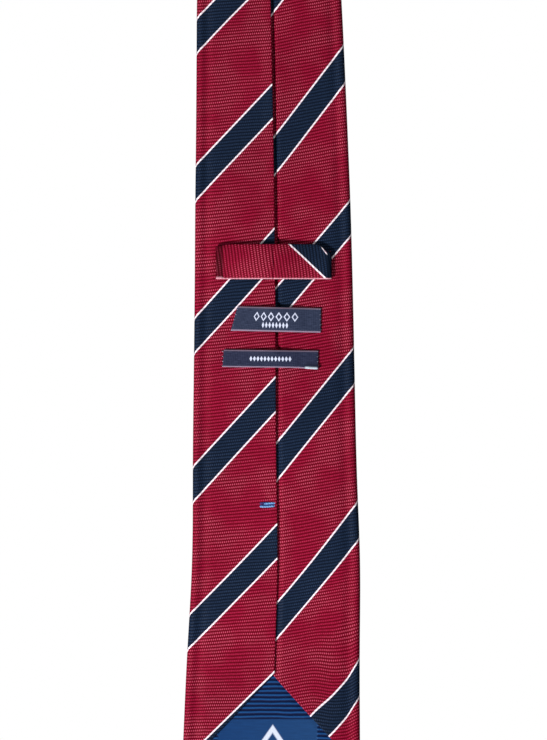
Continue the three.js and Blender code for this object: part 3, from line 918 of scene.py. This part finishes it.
def threads(name, paths, radius, material, square_to, replaced, sides=8):
    """Round threads along paths, an array of paths by points by (run, across, rise)."""
    centre = hang(paths[..., 0], paths[..., 1], paths[..., 2])
    along = np.gradient(centre, axis=1)
    along /= np.linalg.norm(along, axis=-1, keepdims=True)
    side = np.cross(along, square_to)
    side /= np.linalg.norm(side, axis=-1, keepdims=True)
    up = np.cross(side, along)
    turn = np.linspace(0, 2 * math.pi, sides, endpoint=False)[:, None]
    ring = np.cos(turn) * side[:, :, None] + np.sin(turn) * up[:, :, None]
    points = centre[:, :, None] + radius * MM * ring
    count, length = centre.shape[:2]
    quads = grid_quads(length, sides, closed=True)[None] + (np.arange(count) * length * sides)[:, None, None]
    walked = np.cumsum(np.linalg.norm(np.diff(centre, axis=1, prepend=centre[:, :1]), axis=-1), 1) / MM
    round_it = np.broadcast_to(np.arange(sides) / sides, (count, length, sides))
    bolt = np.stack([round_it, np.broadcast_to(walked[..., None], round_it.shape)], -1)
    piece = piece_from(name, points.reshape(-1, 3), quads.reshape(-1, 4), bolt.reshape(-1, 2), material,
                       tube=True)
    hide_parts(*replaced)
    return piece


# %% [markdown]
# The slip stitch is one long thread that weaves between the turned edge of the left flap and the right flap
# beneath it, hidden in the lap. A tack closes each end of it. On the blade the tack is two bright blue
# strands over two dark ones, which are painted shade under them.

# %% The slip stitch and the tacks
STITCH = 12.0
STITCH_RISE = FACE - 0.95
TAIL_TACK_RUN = TIE_LENGTH - 95
red_thread = thread_finish("red_thread", srgb(70, 6, 16), srgb(150, 30, 52), 0.7)
blue_thread = thread_finish("blue_tack_thread", srgb(52, 104, 178), srgb(140, 190, 236), 1.1)
# This dark blue thread is painted shade, for the dark strands of the blade's tack.
painted_shade_thread = thread_finish("painted_shade_thread", srgb(6, 20, 62), srgb(20, 62, 134), 1.1)
SLIP_LENGTHS = [
    ("blade_slip_thread", TACK_RUN, BLADE_SEAM, "blade_bend",
     ["blade_slip_stitch", "blade_slip_stitch_upper"]),
    ("neck_slip_thread_front", BLADE_SEAM, CROWN, "blade_swing", ["neck_slip_stitch"]),
    ("neck_slip_thread_rear", CROWN, TAIL_SEAM, "tail_swing", ["neck_slip_stitch", "tail_slip_stitch_upper"]),
    ("tail_slip_thread", TAIL_SEAM, TAIL_TACK_RUN, "tail_bend",
     ["tail_slip_stitch_upper", "tail_slip_stitch"]),
]
for name, begin, end, joint, replaced in SLIP_LENGTHS:
    run = level_rows(begin, end, 1.5)
    weave = np.sin(run * 2 * math.pi / STITCH)
    path = np.stack([run, SEAM - 3 + 0.5 * weave, STITCH_RISE + 0.1 * weave], -1)
    slip = threads(name, path[None], 0.13, red_thread, (1, 0, 0), replaced, sides=6)
    bend_between(slip, joint)


def tack(name, run, ends, offsets, radius, depth, material, replaced, body):
    """Strands across the seam, each from its own left to its own right end. Each is a low arch whose ends
    dive into the cloth."""
    t = np.linspace(-1, 1, 25)
    rise = FACE + 0.1 + radius * 0.7 - depth - 1.6 * np.abs(t) ** 9
    strands = []
    for offset, (left, right) in zip(offsets, ends):
        across = (left + right) / 2 + (right - left) / 2 * t
        strands.append(np.stack([run + offset + 0.15 * np.sin(2 * t + offset), across, rise], -1))
    piece = threads(name, np.array(strands), radius, material, (0, 0, 1), [replaced], sides=12)
    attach(piece, body)


tack("blade_tack", TACK_RUN, [(-7.4, 0.2), (-5.2, 0.2)], (-0.7, 0.62), 0.42, 0.45, blue_thread,
     "blade_bar_tack", "blade_lower")
# Painted shade: two dark strands, sunk lower, under and between the bright ones.
tack("blade_tack_painted_shade", TACK_RUN, [(-7.9, 0.3), (-7.9, -0.6)], (0.0, 0.8), 0.42, 0.72, painted_shade_thread,
     "blade_bar_tack", "blade_lower")
tack("tail_tack", TAIL_TACK_RUN, [(-4.8, 1.0), (-4.8, 1.0)], (-0.5, 0.5), 0.38, 0.1, blue_thread,
     "tail_bar_tack", "tail_lower")
print("slip stitch in", len(SLIP_LENGTHS), "lengths, and two tacks")


# %% [markdown]
# ## The keeper
#
# The keeper is a band of the same silk, folded double and cut along the other thread, so its ribs stand
# upright. The tail can be slipped through it. Its ends are turned under and sewn down, and its middle can
# be lifted a few millimetres. It is a flat tube carried along a path, in two halves, one for each end.

# %% The keeper's band
KEEPER_RUN = 275.3
KEEPER_ACROSS = 0.1
KEEPER_HEIGHT = 15.8
KEEPER_CLOTH = 0.9
KEEPER_FLAT = 22.6  # from the middle to where an end starts to turn under
KEEPER_TURN = (3.0, 0.85)  # half width and half height of a turned end
KEEPER_FOOT = 5.0
KEEPER_BOW = 1.1
KEEPER_CROWN = 0.9  # how much lower than its middle the band's edges lie
KEEPER_LINE = 15.3
KEEPER_BAND = 14.6
KEEPER_SLOPE = 1.05
KEEPER_BASE = HALF + KEEPER_CLOTH / 2 + 0.05
LIMP = {-1: 0.12, 1: 0.5}  # how much of its top corner each end loses


def keeper_extra(f, colour, u, v):
    """Navy past the second line and on the turned right end, painted shade on the tucked left end, and a
    pale line along the lower edge that widens at that end."""
    past = v - u * KEEPER_SLOPE - (KEEPER_LINE + KEEPER_BAND + 0.9)
    colour = f.mix(f.ramp(past, -0.1, 0.1), colour, NAVY[1])
    colour = f.mix(f.ramp(v, KEEPER_FLAT + 1.0, KEEPER_FLAT + 1.6), colour, NAVY[0])
    # Painted shade: the tucked left end is darkened to about a third.
    colour = f.shade(colour, f.ramp(v, -KEEPER_FLAT - 0.6, -KEEPER_FLAT + 0.2, 0.34, 1.0))
    # A pale line along the lower edge, which widens at the tucked left end and lies over its painted shade.
    to_edge = abs(u - (KEEPER_HEIGHT / 2 - 0.15))
    width = f.ramp(v, -KEEPER_FLAT - 0.8, -KEEPER_FLAT + 0.4, 1.2, 0.45)
    return f.mix(f.ramp(to_edge, width, 0.2, 0, 0.75), colour, srgb(226, 160, 176))


keeper_silk = silk_finish("keeper_silk", KEEPER_LINE + KEEPER_BAND, KEEPER_SLOPE, KEEPER_BAND, keeper_extra)


# %% The keeper's two halves
def keeper_half(name, side):
    """Half of the band. The path is the bowed top, half an ellipse and the foot. The section is a rounded
    rectangle square to the path, and the top corner of an end is drawn down a little."""
    top = np.linspace(0, KEEPER_FLAT, 24)
    turn = -half_circle(17)[1:]
    foot = np.linspace(KEEPER_FLAT, KEEPER_FLAT - KEEPER_FOOT, 5)[1:]
    bow = KEEPER_BOW * np.cos(top / KEEPER_FLAT * math.pi / 2) ** 2
    x = np.concatenate([top, KEEPER_FLAT + KEEPER_TURN[0] * np.cos(turn), foot])
    rise = np.concatenate([KEEPER_BASE + 2 * KEEPER_TURN[1] + bow,
                           KEEPER_BASE + KEEPER_TURN[1] * (1 + np.sin(turn)),
                           np.full_like(foot, KEEPER_BASE)])
    dx, dr = np.gradient(x), np.gradient(rise)
    normal = np.stack([-dr, dx]) / np.hypot(dx, dr)
    walked = np.concatenate([[0], np.cumsum(np.hypot(np.diff(x), np.diff(rise)))])
    half, thick = KEEPER_HEIGHT / 2, KEEPER_CLOTH / 2
    flat = np.linspace(half - thick, thick - half, 14)
    quarter = -half_circle(9)[1:-1]
    below = -(half - thick) - thick * np.cos(quarter)
    section_t = np.concatenate([flat, below, flat[::-1], -below[::-1]])
    outer, turned = np.full_like(flat, thick), thick * np.sin(quarter)
    section_n = np.concatenate([outer, turned, -outer, -turned])
    end = smooth(x, KEEPER_FLAT - 3.5, KEEPER_FLAT + 2.9)[:, None]
    t = section_t - end * np.maximum(section_t, 0) * LIMP[side]
    open_part = smooth(KEEPER_FLAT + 2 - x, 0, 6)[:, None] * (np.arange(len(x)) < len(top))[:, None]
    n = section_n[None] - KEEPER_CROWN * (t / half) ** 2 * open_part
    across = KEEPER_ACROSS + side * (x[:, None] + normal[0][:, None] * n)
    lift = rise[:, None] + normal[1][:, None] * n
    round_it = np.where(section_n > 0, -section_t, KEEPER_HEIGHT + section_t)
    bolt = np.stack([round_it[None] + 0 * t, side * walked[:, None] + 0 * t], -1).reshape(-1, 2)
    points = hang(KEEPER_RUN + t, across, lift).reshape(-1, 3)
    piece = piece_from(name, points, grid_quads(*t.shape, closed=True), bolt, keeper_silk, tube=True)
    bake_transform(piece)
    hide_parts("keeper_loop")


keeper_half("keeper_band_left", -1)
keeper_half("keeper_band_right", 1)
print("keeper", KEEPER_HEIGHT, "mm high,", 2 * (KEEPER_FLAT + KEEPER_TURN[0]), "mm wide")


# %% [markdown]
# ## The labels
#
# Two woven satin labels are sewn under the keeper, with their ends folded under. A woven label carries its
# maker's words in pale thread. These carry plain lozenges and dashes instead. Each is a thin sheet: one
# path gives the flat and the folds, and the other direction is the label's height.


# %% The labels' satin
CURLED_CORNER = 18.9  # how far right of the middle the curled corner lies
WEFT_PITCH = 0.8


def satin_finish(name, dark, light, half_height, ornaments, curled=0.0):
    """Woven satin. Fine warp lines run along it, its two edges are paler, and rows of ornaments are woven
    in. Where curled isn't 0, the lower right corner is mixed that much towards a pale blue-white."""
    f = Finish(name, roughness=0.5, specular=0.18)
    place, u, v = f.bolt()
    streaks = f.node("ShaderNodeVectorMath", {0: place, 1: (0.35, 2.6, 1)}, operation="MULTIPLY")
    fine = f.noise(streaks, 1.0, 2.0)
    height = f.wave(u / WEFT_PITCH) * 0.1 + fine
    colour = f.mix(f.ramp(height, 0.3, 0.75), dark, light)
    colour = f.mix(f.ramp(half_height - abs(v), 0.7, 0.3, 0, 0.75), colour, srgb(150, 130, 152))
    # The lower right corner is painted paler, by the share curled.
    near_corner = f.ramp(abs(u - CURLED_CORNER), 3.0, 2.4, 0, curled)
    at_corner = near_corner * f.ramp(v, 1.1 - half_height, 0.7 - half_height)
    colour = f.mix(at_corner, colour, srgb(196, 212, 224))
    for centre, span, level, pitch, wide, high, inner in ornaments:
        x = u - centre
        within = f.ramp(abs(x), span + 0.05, span - 0.05)
        cell = f.math("FRACT", (x + span) / pitch) - 0.5
        shape = lozenge_outline(f, cell * pitch, v - level, wide, high, inner)
        colour = f.mix(shape * within, colour, srgb(206, 212, 234))
    return f.finish(colour, height, 0.05)


# %% The labels
LABEL_CLOTH = 0.3
LABEL_FOLD = 0.27
LABEL_FOOT = 4.0
UPPER = {"run": 249.3, "across": 0.9, "width": 40.2, "height": 11.0, "slant": 2.9}
LOWER = {"run": 231.6, "across": -1.7, "width": 42.8, "height": 7.8, "slant": 0.6}


def label(name, replaced, material, run, across, width, height, slant, tilt, bow, curl):
    """A label: foot, half-round fold, bowed top, fold and foot. Slant moves the top of the left end
    inwards, and curl lifts the lower right corner."""
    half = width / 2 - LABEL_FOLD
    turn = half_circle(9)[1:-1]
    foot = np.linspace(half - LABEL_FOOT, half, 5)
    top = np.linspace(half, -half, 40)
    x = np.concatenate([foot, half + LABEL_FOLD * np.cos(turn), top, -half - LABEL_FOLD * np.cos(turn),
                        -foot[::-1]])
    level = np.concatenate([np.full(5, -LABEL_FOLD), LABEL_FOLD * np.sin(turn), np.full(40, LABEL_FOLD),
                            LABEL_FOLD * np.sin(-turn), np.full(5, -LABEL_FOLD)])
    on_top = np.where(level > 0, np.cos(np.clip(x / half, -1, 1) * math.pi / 2) ** 2, 0)
    walked = np.concatenate([[0], np.cumsum(np.hypot(np.diff(x), np.diff(level)))])
    t = np.linspace(-height / 2, height / 2, 13)
    X, T = np.meshgrid(x, t, indexing="ij")
    top_rise = bow * on_top[:, None] * (1 + 0.35 * np.sin(X / 5.5 + T / 3))
    corner = curl * smooth(X, half - 9, half - 3) * smooth(-T, 1.0, height / 2) * (level[:, None] > 0)
    rise = HALF + LABEL_CLOTH / 2 + LABEL_FOLD + 0.04 + level[:, None] + top_rise + corner
    X = X + slant * (T / height + 0.5) * smooth(-X, 0, half)
    angle = math.radians(-tilt)
    place_across = across + X * math.cos(angle) - T * math.sin(angle)
    place_run = run + X * math.sin(angle) + T * math.cos(angle) - curl * 0.5 * smooth(X, 9, half) * (T < 0)
    middle = walked[len(walked) // 2]
    bolt = np.stack([(middle - walked)[:, None] + 0 * T, T], -1).reshape(-1, 2)
    quads = grid_quads(*T.shape)
    points = hang(place_run, place_across, rise).reshape(-1, 3)
    piece = piece_from(name, points, quads, bolt, material)
    thicken(piece, LABEL_CLOTH)
    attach(piece, "blade_lower")
    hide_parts(replaced)


# Rows of ornaments: centre, half length, level, pitch, and an ornament's half width, half height and inner
# size.
UPPER_ROWS = [(0.0, 10.8, 1.2, 3.6, 1.5, 2.1, 0.62), (0.0, 6.2, -2.6, 1.55, 0.6, 1.4, 0.0)]
LOWER_ROWS = [(0.5, 9.6, 0.0, 1.6, 0.65, 1.2, 0.0)]
upper_satin = satin_finish("upper_label_satin", srgb(30, 38, 60), srgb(54, 62, 86), 5.4, UPPER_ROWS)
lower_satin = satin_finish("lower_label_satin", srgb(24, 28, 52), srgb(48, 53, 78), 3.9, LOWER_ROWS, 0.8)
label("upper_woven_label", "upper_label", upper_satin, **UPPER, tilt=1.3, bow=0.75, curl=0.0)
label("lower_woven_label", "lower_label", lower_satin, **LOWER, tilt=0.6, bow=0.65, curl=1.1)


# %% [markdown]
# The labels and the keeper are sewn down at their ends with a few small stitches each. A stitch is a short
# arch of thread, from the folded end over to the silk beside it.

# %% The end stitches
label_thread = thread_finish("label_thread", srgb(60, 62, 84), srgb(196, 196, 214), 0.6)


LABEL_TOP = HALF + 2 * LABEL_CLOTH + 0.25
STITCH_REACH = 0.35  # how far a stitch reaches to each side of the end that it holds
SEWN = [  # piece, run, middle, half width, height, stitches, top, slant of the left end, thread
    ("upper_label", UPPER["run"], UPPER["across"], UPPER["width"] / 2, UPPER["height"], 5, LABEL_TOP,
     UPPER["slant"], label_thread),
    ("lower_label", LOWER["run"], LOWER["across"], LOWER["width"] / 2, LOWER["height"], 4, LABEL_TOP, 0.0,
     label_thread),
    ("keeper", KEEPER_RUN, KEEPER_ACROSS, KEEPER_FLAT + KEEPER_TURN[0] - 0.1, KEEPER_HEIGHT * 0.7, 5,
     KEEPER_BASE + 0.3, 0.0, red_thread),
]


def end_stitches(sewn, run, middle, half, height, count, top, slant, material, side, word):
    """Short arches over one end, evenly spaced down its height. Side is -1 for the left end, 1 for the
    right."""
    t = np.linspace(0.42, -0.42, count)[:, None] * height
    s = np.linspace(-1, 1, 11)
    x = middle + side * (half + STITCH_REACH * s) + slant * (side < 0) * (t / height + 0.5)
    rise = HALF + (top - HALF) * (1 - s) / 2 + 0.28 * (1 - s**2) - 0.25 * (s > 0.9)
    paths = np.stack(np.broadcast_arrays(run + t + 0.2 * s, x, rise), -1)
    piece = threads(f"{sewn}_thread_{word}", paths, 0.12, material, (0, 0, 1),
                    [f"{sewn}_stitch_{word}"], sides=6)
    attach(piece, "blade_lower")


for side, word in ((-1, "left"), (1, "right")):
    for row in SEWN:
        end_stitches(*row, side, word)
print("keeper and labels sewn on")


# %% [markdown]
# ## Camera, light and floor
#
# The camera looks straight at the lower part of the blade's back, through a long lens, so that hardly any
# perspective shows. A lamp at the lower left draws the flap's edge and the ribs, and a weaker one at the
# upper right fills the shadows.

# %% Camera and light
VIEW_HEIGHT = 332.6
VIEW_RUN = 226.6
VIEW_DISTANCE = 1800.0
camera_data = bpy.data.cameras.new("camera")
camera = bpy.data.objects.new("camera", camera_data)
bpy.context.scene.collection.objects.link(camera)
camera.location = (0, (-SEAT - HALF - VIEW_DISTANCE) * MM, (VIEW_RUN - BLADE_DROP) * MM)
camera.rotation_euler = (math.pi / 2, 0, 0)
camera_data.lens = camera_data.sensor_width * VIEW_DISTANCE / VIEW_HEIGHT
camera_data.clip_start, camera_data.clip_end = 0.05, 20
bpy.context.scene.camera = camera


def soft_light(name, place, aim, size, power):
    """A square area light that faces the point it is aimed at."""
    lamp = bpy.data.lights.new(name, "AREA")
    lamp.size, lamp.energy = size, power
    holder = bpy.data.objects.new(name, lamp)
    holder.location = place
    direction = np.subtract(aim, place)
    pitch = math.acos(-direction[2] / np.linalg.norm(direction))
    holder.rotation_euler = (pitch, 0, math.atan2(direction[1], direction[0]) - math.pi / 2)
    bpy.context.scene.collection.objects.link(holder)


middle = (0, 0, (VIEW_RUN - BLADE_DROP) * MM)
soft_light("key", (-1.15, -1.25, middle[2] - 0.95), middle, 0.3, 56)
soft_light("fill", (1.0, -1.5, middle[2] + 1.1), middle, 0.5, 9.5)
soft_light("back", (0.4, 1.9, 0.6), middle, 1.2, 22)

# %% [markdown]
# The world is plain white to the eye but lights the silk with less than a tenth of that, so the shadows
# under the keeper and the labels stay. The Light Path node tells the two apart. The floor is a pale disc
# well below the point, out of the lamps' way, and it too is brighter to the eye than it is as a light.

# %% The world
WORLD_LIGHT = 0.09
world = bpy.data.worlds.new("studio")
world.use_nodes = True
nodes, links = world.node_tree.nodes, world.node_tree.links
seen, lighting = nodes["Background"], nodes.new("ShaderNodeBackground")
lighting.inputs["Color"].default_value = seen.inputs["Color"].default_value = (1, 1, 1, 1)
lighting.inputs["Strength"].default_value = WORLD_LIGHT
by_eye, either = nodes.new("ShaderNodeLightPath"), nodes.new("ShaderNodeMixShader")
links.new(by_eye.outputs["Is Camera Ray"], either.inputs[0])
links.new(lighting.outputs[0], either.inputs[1])
links.new(seen.outputs[0], either.inputs[2])
links.new(either.outputs[0], nodes["World Output"].inputs["Surface"])
bpy.context.scene.world = world
bpy.context.scene.view_settings.view_transform = "Standard"

# %% The floor
FLOOR_DROP = 1.6
FLOOR_RADIUS = 1.3
FLOOR_CORNERS = 96
FLOOR_GLOW = 0.45  # what keeps the floor pale to the eye, and lights nothing
floor_mesh = bpy.data.meshes.new("floor")
around = np.linspace(0, 2 * math.pi, FLOOR_CORNERS, endpoint=False)
rim = [FLOOR_RADIUS * np.cos(around), FLOOR_RADIUS * np.sin(around), np.full_like(around, -FLOOR_DROP)]
floor_mesh.from_pydata(np.transpose(rim).tolist(), [], [list(range(FLOOR_CORNERS))])
floor = bpy.data.objects.new("floor", floor_mesh)
bpy.context.scene.collection.objects.link(floor)
pale = Finish("pale_floor", roughness=0.8)
spot = pale.node("ShaderNodeTexCoord", {}, output="Object")
grain = pale.noise(spot, 900.0)
pale.finish(pale.mix(grain, srgb(232, 232, 230), srgb(240, 240, 238)), grain, 0.1)
to_eye = pale.node("ShaderNodeLightPath", {}, output="Is Camera Ray")
pale.shader.inputs["Emission Color"].default_value = (FLOOR_GLOW, FLOOR_GLOW, FLOOR_GLOW, 1)
pale.tree.links.new(to_eye, pale.shader.inputs["Emission Strength"])
floor_mesh.materials.append(pale.material)
